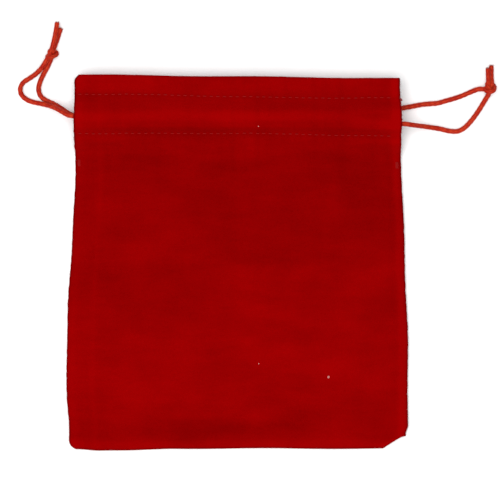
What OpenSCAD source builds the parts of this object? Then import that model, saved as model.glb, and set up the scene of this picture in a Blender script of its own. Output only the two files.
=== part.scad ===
/* [Bag] */
// Width across the lower body, seam to seam
body_w = 136; // [128:1:144]
// Width at the mouth
mouth_w = 129.2; // [124:0.4:134]
// Length from the bottom seam to the mouth edge
bag_l = 149; // [142:1:158]
// Radius of the bottom corner on the left
corner_r = 4.5; // [2:0.5:6]
// Width of the slanted tuck that takes off the bottom corner on the right
tuck_w = 10; // [6:1:14]
// Height of that tuck
tuck_h = 5; // [3:0.5:7]

/* [Cloth] */
// Thickness of the velvet, pile included
cloth_t = 0.8; // [0.6:0.1:1]
// Open height between the two hems at the mouth
mouth_gap = 4.8; // [4.6:0.2:6]
// How far in from a seam the front panel takes to rise to its full height
dome_run = 15.6; // [12:0.4:20]

/* [Casing] */
// Depth of the header, from the mouth edge to the upper stitch row
header_h = 8; // [7:0.5:10]
// Depth of the casing, from the upper stitch row to the lower one
casing_h = 15; // [14.5:0.5:18]
// Clear height of the casing over the cords
channel_h = 2.6; // [2.4:0.1:3]
// Hem cloth left below the lower stitch row
hem_tail = 2; // [1.5:0.5:4]
// How far the hem stops short of each side, so that the cord can turn round it
hem_inset = 7.6; // [7:0.2:9]

/* [Seams] */
// Width of the seam allowance turned to the inside
allowance_w = 8; // [5:0.5:10]
// Thickness of the two allowance layers pressed together
allowance_t = 1.2; // [1:0.1:1.4]
// Distance from the lower stitch row down to the closed end of a side slit
slit_l = 9; // [8:0.5:14]

/* [Cords] */
// Diameter of the braided cord
cord_d = 2; // [1.6:0.1:2.1]

/* [Stitches] */
// Spacing of the stitches
stitch_pitch = 2.6; // [2.2:0.1:4]
// Length of one stitch
stitch_l = 1.8; // [1.2:0.1:2]
// Width of the thread
thread_w = 0.4; // [0.3:0.05:0.5]

/* [Hidden] */

velvet = [0.58, 0.02, 0.03];
velvet_inside = [0.5, 0.03, 0.05];
thread = [0.68, 0.1, 0.1];
cord = [0.76, 0.2, 0.14];
$fn = 24;

// Lengthwise places, measured from the middle of the bag towards the mouth
mouth_y = bag_l / 2;
bottom_y = -mouth_y;
upper_row_y = mouth_y - header_h;
lower_row_y = upper_row_y - casing_h;
casing_y = (upper_row_y + lower_row_y) / 2;
hem_y = lower_row_y - hem_tail;
slit_y = lower_row_y - slit_l;
taper_y = 40;
taper_l = 75;

// Heights, measured from the underside of the back panel
back_run_z = cloth_t + channel_h / 2;
hem_z = 2 * cloth_t + channel_h + mouth_gap;
front_run_z = hem_z + cloth_t + channel_h / 2;
pinch_z = hem_z + 2 * cloth_t;
dome_h = hem_z - cloth_t - allowance_t;

// Width of the rolled edge of a seam, and of the flat band inside it
roll_w = 0.8;
seam_flat = 2.4;
// Gap between the rolled edge and the turned-in allowance, where the seam's thread lies
thread_inset = 0.95;
allowance_inset = 1.6;
thread_t = 0.25;
row_half = 0.4;
mouth_corner_r = 3;

// Lengthwise places of the four cord runs, and where the casing bulges over them
left_front_y = casing_y - 0.4;
left_back_y = casing_y;
right_front_y = casing_y - 3.4;
right_back_y = casing_y + 3;
front_bulge_low = casing_y - 4.8;
front_bulge_high = casing_y + 1;
back_bulge_low = casing_y - 1.4;
back_bulge_high = casing_y + 4.4;
// Where each cord turns back, on the side away from its own exit
left_turn_x = mouth_w / 2 - 6.6;
right_turn_x = -mouth_w / 2 + 7.4;
exit_x = mouth_w / 2;

// Free strands, each from its slit to its knot. A point is the distance out from the
// side of the bag, the place along the bag from the casing's middle, and the height
// above the table.
left_front_route = [
    [0, -0.4, front_run_z], [2.4, 0.1, front_run_z - 0.5], [4.8, 1.4, 9.2],
    [7, 2.7, 7.2], [9.2, 3.7, 5], [11.6, 4.5, 3], [14.2, 5.1, 1.7],
    [17, 5.7, 1.1], [19.5, 6.7, 1.1], [21.5, 8.5, 1.1], [22.1, 11, 1.1],
    [21, 13.4, 1.1], [18.4, 15.2, 1.1], [15.8, 17, 1.4], [13.6, 19.1, 2.3],
    [12, 21.4, 3], [10.8, 23.6, 3.3]
];
left_back_route = [
    [0, 0, back_run_z], [2.8, 1.2, 1.8], [5.8, 3.2, 1.3], [8.8, 5, 1.1],
    [11.8, 6.4, 1.1], [14, 8.2, 1.1], [14.8, 11, 1.1], [14.1, 14, 1.1],
    [12.8, 16.8, 1.1], [11.5, 19.2, 1.1], [10.4, 21.6, 1.1], [9.6, 23.8, 1.4]
];
right_front_route = [
    [0, -3.4, front_run_z], [2.4, -3.5, front_run_z - 0.5], [5, -3.8, 9],
    [7.6, -4, 6.4], [10.2, -4.2, 4], [13, -4.5, 2], [16.4, -5, 1.1],
    [20.4, -5.9, 1.1], [23.6, -5.9, 1.1], [26.4, -4.4, 1.1], [29.2, -1.4, 1.1],
    [31.8, 2.2, 1.1], [34, 5.8, 1.3], [36, 9.3, 2.1]
];
right_back_route = [
    [0, 3, back_run_z], [2.8, 3.5, 1.8], [6, 4.1, 1.3], [9.2, 4.7, 1.1],
    [12.4, 5, 1.1], [15.6, 5.3, 1.1], [18.8, 6.2, 1.1], [22, 7.1, 1.1],
    [25.2, 8.2, 1.1], [28.4, 9.6, 1.1], [31.6, 10.8, 1.7], [34.6, 11, 2.3]
];
// Tails beyond the knots, and the knots themselves, in the same measures
left_front_tail_route = [[10.6, 26.6, 2.2], [9.6, 31.4, 1.4], [8.2, 37.2, 1.1]];
left_back_tail_route = [[8.4, 26.4, 2.2], [7.2, 30.4, 1.4], [6, 35, 1.1]];
right_front_tail_route = [[37.4, 12.6, 2.2], [37.4, 16, 1.5], [37.2, 20, 1.1]];
right_back_tail_route = [[35.2, 12.8, 2.2], [35, 15.8, 1.5], [34.8, 19, 1.1]];
left_knot_at = [9.6, 25.2, 2.4];
right_knot_at = [36.4, 11.4, 2.5];

function mix(a, b, t) = a + (b - a) * t;
function unit_step(t) = max(0, min(1, t));
function smooth(t) = let (u = unit_step(t)) u * u * (3 - 2 * u);
function unit(v) = v / norm(v);

// The bag's outline: sides that swell a little towards the bottom, one round bottom
// corner, one tucked one, and a round mouth corner on the left.
function half_w(y) = mix(mouth_w, body_w, smooth((taper_y - y) / taper_l)) / 2;
function round_in(d, r) = d < r ? r - sqrt(r * r - (r - d) * (r - d)) : 0;
function tuck_in(d) = max(0, tuck_w * (1 - d / tuck_h));
function left_x(y) = -half_w(y) + round_in(y - bottom_y, corner_r)
    + round_in(mouth_y - y, mouth_corner_r);
function right_x(y) = half_w(y) - tuck_in(y - bottom_y);

// The front panel's underside: rolled over the seam, over the allowance, then up as a
// dome. Past the slit's closed end its sides lie free, and over the cords it bulges.
function roll(d) = unit_step(d / roll_w);
function dome(d) = sin(90 * unit_step((d - seam_flat) / dome_run));
function slit(y) = smooth((y - slit_y) / (slit_l - hem_tail));
function bulge(y, low, high) = smooth((y - lower_row_y - row_half) / (low - lower_row_y - row_half))
    * smooth((upper_row_y - row_half - y) / (upper_row_y - row_half - high));
function under_z(x, y) =
    let (
        side = min(x - left_x(y), right_x(y) - x),
        up = y - bottom_y,
        rolled = min(max(roll(side), slit(y)), roll(up)),
        domed = mix(dome(side), 1, slit(y)) * dome(up)
    )
    cloth_t + allowance_t * rolled + dome_h * domed
        + cloth_t * smooth((y - hem_y + 4) / 4)
        + channel_h * bulge(y, front_bulge_low, front_bulge_high);
// Thickness of a layer, thinned where it rolls over the mouth edge
function layer_t(y) = max(0.1, cloth_t - round_in(mouth_y - y, cloth_t));

// Grid lines of the front panel: close together at the seams and the casing
edge_steps = [0, roll_w, seam_flat, 5, 8, 11, 14.5, 18];
edge_count = len(edge_steps);
mid_columns = 5;
column_count = 2 * edge_count + mid_columns;
body_rows = 7;
casing_rows = concat(
    [for (y = [slit_y, slit_y + 2, slit_y + 3.5, slit_y + 5, hem_y]) y],
    [lower_row_y - row_half, lower_row_y + row_half],
    [mix(lower_row_y + row_half, front_bulge_low, 0.5), front_bulge_low],
    [for (t = [0, 0.35, 0.7, 1]) mix(front_bulge_high, upper_row_y - row_half, t)],
    [upper_row_y + row_half],
    [mouth_y - 3, mouth_y - cloth_t, mouth_y - 0.25, mouth_y]
);
panel_rows = concat(
    [for (d = edge_steps) bottom_y + d],
    [for (i = [1:body_rows]) mix(bottom_y + 18, slit_y - 4, i / body_rows)],
    casing_rows
);
function column_x(k, y) =
    k < edge_count ? left_x(y) + edge_steps[k]
    : k >= edge_count + mid_columns ? right_x(y) - edge_steps[column_count - 1 - k]
    : mix(left_x(y) + 18, right_x(y) - 18, (k - edge_count + 1) / (mid_columns + 1));

// A closed solid between two grids of points, given row by row
module sheet_solid(upper, lower) {
    rows = len(upper);
    cols = len(upper[0]);
    below = rows * cols;
    function at(i, j) = i * cols + j;
    function tile(a, b, c, d) = [[a, b, c], [a, c, d]];
    polyhedron(
        points = concat([for (row = upper) each row], [for (row = lower) each row]),
        faces = concat(
            [for (i = [0:rows - 2], j = [0:cols - 2])
                each tile(at(i, j), at(i + 1, j), at(i + 1, j + 1), at(i, j + 1))],
            [for (i = [0:rows - 2], j = [0:cols - 2])
                each tile(below + at(i, j), below + at(i, j + 1),
                    below + at(i + 1, j + 1), below + at(i + 1, j))],
            [for (j = [0:cols - 2])
                each tile(below + at(0, j), at(0, j), at(0, j + 1), below + at(0, j + 1))],
            [for (j = [0:cols - 2])
                each tile(below + at(rows - 1, j + 1), at(rows - 1, j + 1),
                    at(rows - 1, j), below + at(rows - 1, j))],
            [for (i = [0:rows - 2])
                each tile(below + at(i + 1, 0), at(i + 1, 0), at(i, 0), below + at(i, 0))],
            [for (i = [0:rows - 2])
                each tile(below + at(i, cols - 1), at(i, cols - 1),
                    at(i + 1, cols - 1), below + at(i + 1, cols - 1))]
        )
    );
}

// A cord along a list of points, with a ring of eight at each. The first vertex of a
// ring lies square to ref, and the first ring faces along start where that is given.
module tube(route, ref = [0, 0, 1], start = undef) {
    sides = 8;
    last = len(route) - 1;
    function heading(i) = i == 0 && start != undef ? start
        : unit(route[min(i + 1, last)] - route[max(i - 1, 0)]);
    function ring(i) =
        let (t = heading(i), s = unit(cross(t, ref)), n = cross(s, t))
        [for (k = [0:sides - 1])
            route[i] + cord_d / 2 * (s * cos(45 * k) + n * sin(45 * k))];
    polyhedron(
        points = [for (i = [0:last]) each ring(i)],
        faces = concat(
            [[for (k = [0:sides - 1]) k]],
            [for (i = [0:last - 1], k = [0:sides - 1])
                let (a = i * sides + k, b = i * sides + (k + 1) % sides)
                each [[a, a + sides, b + sides], [a, b + sides, b]]],
            [[for (k = [sides - 1:-1:0]) last * sides + k]]
        )
    );
}

// Turns a strand's measures into places on the left (-1) or right (1) of the bag
function placed(p, side) = [side * (exit_x + p.x), casing_y + p.y, p.z];
module free_cord(route, side, start = undef) {
    color(cord)
        tube([for (p = route) placed(p, side)], start = start);
}

// A cord's hidden length: in through the front casing, round a half circle between
// the two hems' ends, and out through the back casing
function run_route(side, front_y, back_y, turn_x) =
    let (turn_r = norm([front_y - back_y, front_run_z - back_run_z]) / 2)
    concat(
        [[side * exit_x, front_y, front_run_z]],
        [for (a = [0:30:180])
            [turn_x - side * turn_r * sin(a),
                mix(front_y, back_y, (1 - cos(a)) / 2),
                mix(front_run_z, back_run_z, (1 - cos(a)) / 2)]],
        [[side * exit_x, back_y, back_run_z]]
    );

// Three tight wraps of the doubled cord round a core, lying along the bag
module knot(at, side, lean) {
    wrap_r = 0.62 * cord_d;
    bead_r = 0.5 * cord_d;
    translate(placed(at, side))
        rotate([-90, 0, lean]) {
            cylinder(h = 2.2 * cord_d, r = wrap_r, center = true);
            for (k = [-1:1])
                translate([0, 0, k * 0.62 * cord_d])
                    rotate([0, 12, 0])
                        rotate_extrude()
                            translate([wrap_r - (k == 0 ? 0 : 0.15), 0])
                                circle(r = bead_r);
        }
}

// One row of stitches along X, lying on a face at height z
module stitch_row(y, z, half) {
    count = floor(2 * half / stitch_pitch);
    for (i = [0:count - 1])
        translate([(i - (count - 1) / 2) * stitch_pitch - stitch_l / 2, y - thread_w / 2, z])
            cube([stitch_l, thread_w, thread_t]);
}

module front_panel() {
    lower = [for (y = panel_rows) [for (k = [0:column_count - 1])
        let (x = column_x(k, y)) [x, y, under_z(x, y)]]];
    upper = [for (row = lower) [for (p = row) p + [0, 0, layer_t(p.y)]]];
    color(velvet)
        sheet_solid(upper, lower);
}

module back_panel() {
    color(velvet)
        linear_extrude(cloth_t)
            polygon(concat(
                [for (y = panel_rows) [left_x(y), y]],
                [for (i = [len(panel_rows) - 1:-1:0]) [right_x(panel_rows[i]), panel_rows[i]]]
            ));
}

// A hem's cross-section, run from side to side of the mouth
module hem_along(profile) {
    rotate([90, 0, 90])
        linear_extrude(mouth_w - 2 * hem_inset, center = true)
            polygon(profile);
}

module front_hem() {
    color(velvet_inside)
        hem_along(concat(
            [[hem_y, hem_z + cloth_t], [hem_y, hem_z]],
            [for (a = [0:22.5:67.5])
                [mouth_y - cloth_t * (1 - sin(a)), hem_z + cloth_t * (1 - cos(a))]],
            [[mouth_y - 0.05, hem_z + cloth_t]]
        ));
}

module back_hem() {
    steps = 4;
    rows = concat(
        [hem_y],
        [for (i = [0:steps]) mix(lower_row_y + row_half, back_bulge_low, i / steps)],
        [for (i = [0:steps]) mix(back_bulge_high, upper_row_y - row_half, i / steps)],
        [mouth_y - cloth_t, mouth_y - 0.35, mouth_y - 0.05]
    );
    function low(y) = cloth_t + channel_h * bulge(y, back_bulge_low, back_bulge_high);
    color(velvet_inside)
        hem_along(concat(
            [for (y = rows) [y, low(y)]],
            [for (i = [len(rows) - 1:-1:0]) [rows[i], low(rows[i]) + layer_t(rows[i])]]
        ));
}

// The turned-in edges of both panels along one side, lying on the back panel
module side_allowance(side) {
    rows = [for (y = panel_rows) if (y > bottom_y + 10 && y <= slit_y) y];
    function edge(y, inset) = side < 0 ? left_x(y) + inset : right_x(y) - inset;
    inner = allowance_inset + allowance_w;
    color(velvet_inside)
        translate([0, 0, cloth_t])
            linear_extrude(allowance_t)
                polygon(concat(
                    [for (y = rows) [edge(y, allowance_inset), y]],
                    [for (i = [len(rows) - 1:-1:0]) [edge(rows[i], inner), rows[i]]]
                ));
}
module left_seam_allowance() side_allowance(-1);
module right_seam_allowance() side_allowance(1);

module bottom_seam_allowance() {
    reach = body_w / 2 - tuck_w - 4;
    color(velvet_inside)
        translate([-reach, bottom_y + allowance_inset, cloth_t])
            cube([2 * reach, allowance_w, allowance_t]);
}

row_reach = mouth_w / 2 - hem_inset - 1;
module front_row(y) {
    color(thread) {
        stitch_row(y, pinch_z, row_reach);
        stitch_row(y, hem_z - thread_t, row_reach);
    }
}
module back_row(y) {
    color(thread)
        stitch_row(y, 2 * cloth_t, row_reach);
}
module front_upper_stitching() front_row(upper_row_y);
module front_lower_stitching() front_row(lower_row_y);
module back_upper_stitching() back_row(upper_row_y + row_half);
module back_lower_stitching() back_row(lower_row_y - row_half);

module side_stitching(side) {
    color(thread)
        for (y = [bottom_y + 7:stitch_pitch:slit_y - stitch_l])
            translate([
                side < 0 ? left_x(y) + thread_inset : right_x(y) - thread_inset - thread_w,
                y, cloth_t
            ])
                cube([thread_w, stitch_l, thread_w]);
}
module left_side_stitching() side_stitching(-1);
module right_side_stitching() side_stitching(1);

module bottom_stitching() {
    reach = body_w / 2 - tuck_w - 2;
    count = floor(2 * reach / stitch_pitch);
    color(thread)
        for (i = [0:count - 1])
            translate([(i - (count - 1) / 2) * stitch_pitch - stitch_l / 2,
                bottom_y + thread_inset, cloth_t])
                cube([stitch_l, thread_w, thread_w]);
}

// Close stitches across the seam at the closed end of a slit
module slit_tack(side) {
    top_z = 2 * cloth_t + allowance_t;
    span = seam_flat - roll_w - 0.2;
    color(thread)
        for (i = [0:5])
            let (y = slit_y - 4 + 0.5 * i)
            translate([
                side < 0 ? left_x(y) + roll_w + 0.1 : right_x(y) - roll_w - 0.1 - span,
                y, top_z
            ])
                cube([span, 0.35, thread_t]);
}
module left_slit_tack() slit_tack(-1);
module right_slit_tack() slit_tack(1);

module left_cord_run() {
    color(cord)
        tube(run_route(-1, left_front_y, left_back_y, left_turn_x), ref = [0, 1, 0]);
}
module left_front_strand() free_cord(left_front_route, -1, start = [-1, 0, 0]);
module left_back_strand() free_cord(left_back_route, -1, start = [-1, 0, 0]);
module left_knot() color(cord) knot(left_knot_at, -1, -10);
module left_front_tail() free_cord(left_front_tail_route, -1);
module left_back_tail() free_cord(left_back_tail_route, -1);

module right_cord_run() {
    color(cord)
        tube(run_route(1, right_front_y, right_back_y, right_turn_x), ref = [0, 1, 0]);
}
module right_front_strand() free_cord(right_front_route, 1, start = [1, 0, 0]);
module right_back_strand() free_cord(right_back_route, 1, start = [1, 0, 0]);
module right_knot() color(cord) knot(right_knot_at, 1, -8);
module right_front_tail() free_cord(right_front_tail_route, 1);
module right_back_tail() free_cord(right_back_tail_route, 1);

front_panel();
back_panel();
front_hem();
back_hem();
left_seam_allowance();
right_seam_allowance();
bottom_seam_allowance();
front_upper_stitching();
front_lower_stitching();
back_upper_stitching();
back_lower_stitching();
left_side_stitching();
right_side_stitching();
bottom_stitching();
left_slit_tack();
right_slit_tack();
left_cord_run();
left_front_strand();
left_back_strand();
left_knot();
left_front_tail();
left_back_tail();
right_cord_run();
right_front_strand();
right_back_strand();
right_knot();
right_front_tail();
right_back_tail();
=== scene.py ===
import math
import bpy
import numpy as np
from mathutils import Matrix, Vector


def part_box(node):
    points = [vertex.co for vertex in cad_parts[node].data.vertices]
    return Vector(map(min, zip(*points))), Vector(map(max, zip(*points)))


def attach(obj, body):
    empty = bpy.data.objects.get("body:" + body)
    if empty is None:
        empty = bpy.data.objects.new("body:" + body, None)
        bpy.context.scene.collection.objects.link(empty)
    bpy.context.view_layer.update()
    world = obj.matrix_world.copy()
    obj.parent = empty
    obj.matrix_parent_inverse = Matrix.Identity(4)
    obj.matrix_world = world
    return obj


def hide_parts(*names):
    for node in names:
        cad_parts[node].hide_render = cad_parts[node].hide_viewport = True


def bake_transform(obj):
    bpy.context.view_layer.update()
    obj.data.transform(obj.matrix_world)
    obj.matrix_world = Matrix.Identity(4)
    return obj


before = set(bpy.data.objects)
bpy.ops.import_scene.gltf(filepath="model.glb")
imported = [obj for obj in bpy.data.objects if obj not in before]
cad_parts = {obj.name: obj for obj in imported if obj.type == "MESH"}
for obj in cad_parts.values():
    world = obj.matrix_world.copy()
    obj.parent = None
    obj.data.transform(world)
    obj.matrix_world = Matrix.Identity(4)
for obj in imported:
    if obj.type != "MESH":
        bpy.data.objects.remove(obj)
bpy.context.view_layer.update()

scene = bpy.context.scene

# ---------------------------------------------------------------- the place to look from
# The bag lies on a table and is looked at from straight above, so that its outline and
# both cords are in view. The lens is long, so the sides don't lean outwards.
MM = 0.001
FIELD = 200 * MM
VIEW_HEIGHT = 1.1
VIEW_CENTRE = (5.1 * MM, 5.6 * MM)
SENSOR = 36.0
lens = bpy.data.cameras.new("overhead")
lens.sensor_width = SENSOR
lens.lens = SENSOR * VIEW_HEIGHT / FIELD
lens.clip_start = 0.01
overhead = bpy.data.objects.new("overhead", lens)
overhead.location = (*VIEW_CENTRE, VIEW_HEIGHT)
scene.collection.objects.link(overhead)
scene.camera = overhead
scene.view_settings.view_transform = "Standard"

# ---------------------------------------------------------------- the two drawstrings
# Each is one length of twelve-strand satin braid, 2 mm thick. It goes in through one side
# of the front casing, turns round at the far side and comes back out through the back
# casing, and its two ends are tied together in an overhand knot.
CORD_D = 2.0
SIDES = {"left": -1, "right": 1}
low_run, high_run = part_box("left_cord_run")
EXIT_X = -low_run[0] / MM
BACK_RUN_Z = low_run[2] / MM + CORD_D / 2
FRONT_RUN_Z = high_run[2] / MM - CORD_D / 2


def row_y(node):
    """The line that a row of stitches runs along, in millimetres."""
    low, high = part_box(node)
    return (low[1] + high[1]) / 2 / MM


UPPER_ROW = row_y("front_upper_stitching")
LOWER_ROW = row_y("front_lower_stitching")
CASING_Y = (UPPER_ROW + LOWER_ROW) / 2

# Each route's points: out from the side of the bag, along it from the casing's middle,
# and above the table. The strand comes first, then its tail beyond the knot.
STRANDS = {
    "left_front": [
        (0, -0.4, FRONT_RUN_Z), (2.4, 0.1, FRONT_RUN_Z - 0.5), (4.8, 1.4, 9.2),
        (7, 2.7, 7.2), (9.2, 3.7, 5), (11.6, 4.5, 3), (14.2, 5.1, 1.7),
        (17, 5.7, 1.1), (19.5, 6.7, 1.1), (21.5, 8.5, 1.1), (22.1, 11, 1.1),
        (21, 13.4, 1.1), (18.4, 15.2, 1.1), (15.8, 17, 1.4), (13.6, 19.1, 2.3),
        (12, 21.4, 3), (10.8, 23.6, 2.9),
        (9.5, 26.4, 2.9), (8.4, 30.4, 3.1), (7.6, 34.8, 2.5), (7.3, 37.4, 2.0),
    ],
    "left_back": [
        (0, 0, BACK_RUN_Z), (2.8, 1.2, 1.8), (5.8, 3.2, 1.3), (8.8, 5, 1.1),
        (11.8, 6.4, 1.1), (14, 8.2, 1.1), (14.8, 11, 1.1), (14.1, 14, 1.1),
        (12.8, 16.8, 1.1), (11.5, 19.2, 1.1), (10.4, 21.6, 1.1), (9.6, 23.8, 1.4),
        (8.9, 26.4, 1.4), (7.5, 30.4, 1.1), (6, 35.1, 1.1),
    ],
    "right_front": [
        (0, -3.4, FRONT_RUN_Z), (2.4, -3.5, FRONT_RUN_Z - 0.5), (5, -3.8, 9),
        (7.6, -4, 6.4), (10.2, -4.2, 4), (13, -4.5, 2), (16.4, -5, 1.1),
        (20.4, -5.9, 1.1), (23.6, -5.9, 1.1), (26.4, -4.4, 1.1), (29.2, -1.4, 1.1),
        (31.8, 2.2, 1.1), (34, 5.8, 1.3), (36, 9.3, 2.1),
        (37.0, 12.6, 1.8), (36.9, 16, 1.1), (36.9, 20.2, 1.1),
    ],
    "right_back": [
        (0, 3, BACK_RUN_Z), (2.8, 3.5, 1.8), (6, 4.1, 1.3), (9.2, 4.7, 1.1),
        (12.4, 5, 1.1), (15.6, 5.3, 1.1), (18.8, 6.2, 1.1), (22, 7.1, 1.1),
        (25.2, 8.2, 1.1), (28.4, 9.6, 1.1), (31.6, 10.8, 1.7), (34.6, 11, 2.3),
        (35.5, 12.9, 2.8), (35.6, 15.8, 2.6), (35.5, 19.1, 2.4),
    ],
}
# Each knot's place in the same measures, how far it leans and is rolled round in degrees,
# and how thick the cord is where the knot presses it
KNOTS = {"left": ((9.4, 24.6, 2.5), 22, 14, 1.62), "right": ((36.3, 11.2, 2.55), 14, -6, 1.74)}
# Each hidden run's places in the front and the back casing, and the x at which it turns
RUNS = {"left": (-0.4, 0.0, EXIT_X - 6.6), "right": (-3.4, 3.0, -EXIT_X + 7.4)}
# How far the run in the front casing drifts along the bag, and within what length
RUN_DRIFT = {"left": 0.0, "right": 0.9}
DRIFT_LENGTH = 25
# A cord's mesh: the step between its rings, and the points round each
RING = 0.22
RING_SIDES = 40
# Its braid: the strands that wind each way, one strand's repeat along the cord, and how
# deep the grooves between the strands are
CARRIERS = 6
BRAID_PITCH = 2.1
BRAID_RELIEF = 0.12


def placed(points, side):
    """Points measured from the side of the bag and the casing, as places in millimetres."""
    out, along, up = np.array(points, float).T
    return np.column_stack([side * (EXIT_X + out), CASING_Y + along, up])


def smooth(t):
    """0 below t = 0 and 1 above t = 1, with no kink at either."""
    t = np.clip(t, 0, 1)
    return t * t * (3 - 2 * t)


def travelled(path):
    """How far along the path each of its points lies."""
    return np.r_[0, np.cumsum(np.linalg.norm(np.diff(path, axis=0), axis=1))]


def at_places(path, places):
    """The points that lie at those distances along the path."""
    far = travelled(path)
    return np.column_stack([np.interp(places, far, axis) for axis in path.T])


def smooth_route(points, step=RING):
    """A curve through the points, in even steps: between two points it is the cubic whose
    slope at each end is half the way from the point before to the point after."""
    p = np.vstack([2 * points[0] - points[1], points, 2 * points[-1] - points[-2]])
    t = np.linspace(0, 1, 24, endpoint=False)[:, None, None]
    a, b, c, d = p[:-3], p[1:-2], p[2:-1], p[3:]
    curve = 0.5 * (
        2 * b + (c - a) * t + (2 * a - 5 * b + 4 * c - d) * t**2
        + (3 * b - a - 3 * c + d) * t**3
    )
    curve = np.vstack([curve.transpose(1, 0, 2).reshape(-1, 3), p[-2]])
    length = travelled(curve)[-1]
    return at_places(curve, np.linspace(0, length, max(3, round(length / step) + 1)))


def grid_faces(rows, cols, wrap=False):
    """Quads between neighbours on a grid of points counted row by row; with wrap, the last
    column joins the first."""
    i, j = np.meshgrid(
        np.arange(rows - 1), np.arange(cols if wrap else cols - 1), indexing="ij"
    )
    k = (j + 1) % cols
    return np.stack(
        [i * cols + j, i * cols + k, (i + 1) * cols + k, (i + 1) * cols + j], -1
    ).reshape(-1, 4)


def new_piece(name, points, quads, tris=None, **values):
    """A mesh object of that name from points in millimetres, quads and triangles; each
    further value is kept on the mesh as a number at each point."""
    faces = np.asarray(quads).tolist()
    if tris is not None:
        faces += tris.tolist()
    mesh = bpy.data.meshes.new(name)
    mesh.from_pydata(np.asarray(points, float) * MM, [], faces)
    mesh.shade_smooth()
    for key, value in values.items():
        mesh.attributes.new(key, "FLOAT", "POINT").data.foreach_set(
            "value", np.asarray(value, np.float32).ravel()
        )
    piece = bpy.data.objects.new(name, mesh)
    scene.collection.objects.link(piece)
    return piece


def frames_along(path, first):
    """Tangents of the path, and two directions square to them that turn with it as little
    as they can: each step takes the last one less its share along the new tangent."""
    tangent = np.gradient(path, axis=0)
    tangent /= np.linalg.norm(tangent, axis=1)[:, None]
    across = np.zeros_like(path)
    last = np.asarray(first, float)
    for n, t in enumerate(tangent):
        last = last - t * (last @ t)
        last /= np.linalg.norm(last)
        across[n] = last
    return tangent, across, np.cross(tangent, across)


def braid_tube(path, diameter, first=(0, 0, 1), seed=0, ends=(0.3, 0.3), pitch=BRAID_PITCH):
    """A braided cord along path: a ring at each point, whose radius swells over every
    strand. Two families of strands wind opposite ways, and where turns u and v of the two
    meet, the swell is the square root of sin(pi u) sin(pi v). Each end draws in round over
    the length given for it, and an end of length 0 is cut flat to meet the next cord."""
    rows = len(path)
    far = travelled(path)
    angle = np.linspace(0, 2 * np.pi, RING_SIDES, endpoint=False)[None]
    along = far[:, None]
    u = CARRIERS * angle / (2 * np.pi) + along / pitch
    v = CARRIERS * angle / (2 * np.pi) - along / pitch
    swell = np.sqrt(np.abs(np.sin(np.pi * u) * np.sin(np.pi * v)))
    rng = np.random.default_rng(seed)
    places = np.linspace(0, far[-1], max(4, int(far[-1] / 2.2)))
    uneven = rng.normal(0, 0.013, len(places))
    uneven[[0, -1]] = 0
    wobble = np.interp(far, places, uneven)[:, None]
    radius = diameter / 2 * (1 - BRAID_RELIEF * (1 - swell) + wobble)
    for left, reach in zip((far, far[-1] - far), ends):
        if reach:
            rounded = np.clip(left[:, None] / reach, 0, 1)
            radius = radius * np.sqrt(np.clip(1 - (1 - rounded) ** 2, 0.02, 1))
    _, across, over = frames_along(path, first)
    points = path[:, None] + radius[..., None] * (
        np.cos(angle)[..., None] * across[:, None] + np.sin(angle)[..., None] * over[:, None]
    )
    points = points.reshape(-1, 3)
    quads = grid_faces(rows, RING_SIDES, wrap=True)
    ring = np.arange(RING_SIDES)
    start, end = len(points), len(points) + 1
    last_ring = (rows - 1) * RING_SIDES
    tris = np.vstack([
        np.column_stack([np.full(RING_SIDES, start), (ring + 1) % RING_SIDES, ring]),
        np.column_stack([np.full(RING_SIDES, end), last_ring + ring,
                         last_ring + (ring + 1) % RING_SIDES]),
    ])
    points = np.vstack([points, path[0], path[-1]])
    over_or_under = (np.floor(u) + np.floor(v)) % 2
    # swell also drives the braid finish's painted highlight on the crowns and painted shade in the
    # grooves
    marks = {
        "swell": np.r_[swell.ravel(), 0.5, 0.5],
        "ply": np.r_[over_or_under.ravel(), 0, 0],
    }
    return points, quads, tris, marks


class Wire:
    """One number, colour or vector inside a material. Arithmetic on it adds a Math node."""

    def __init__(self, tree, socket):
        self.tree, self.socket = tree, socket

    def _math(self, operation, first, second):
        node = self.tree.nodes.new("ShaderNodeMath")
        node.operation = operation
        for slot, value in zip(node.inputs, (first, second)):
            if isinstance(value, Wire):
                self.tree.links.new(value.socket, slot)
            else:
                slot.default_value = value
        return Wire(self.tree, node.outputs[0])

    def __add__(self, other):
        return self._math("ADD", self, other)

    def __radd__(self, other):
        return self._math("ADD", other, self)

    def __sub__(self, other):
        return self._math("SUBTRACT", self, other)

    def __rsub__(self, other):
        return self._math("SUBTRACT", other, self)

    def __mul__(self, other):
        return self._math("MULTIPLY", self, other)

    def __rmul__(self, other):
        return self._math("MULTIPLY", other, self)


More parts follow.
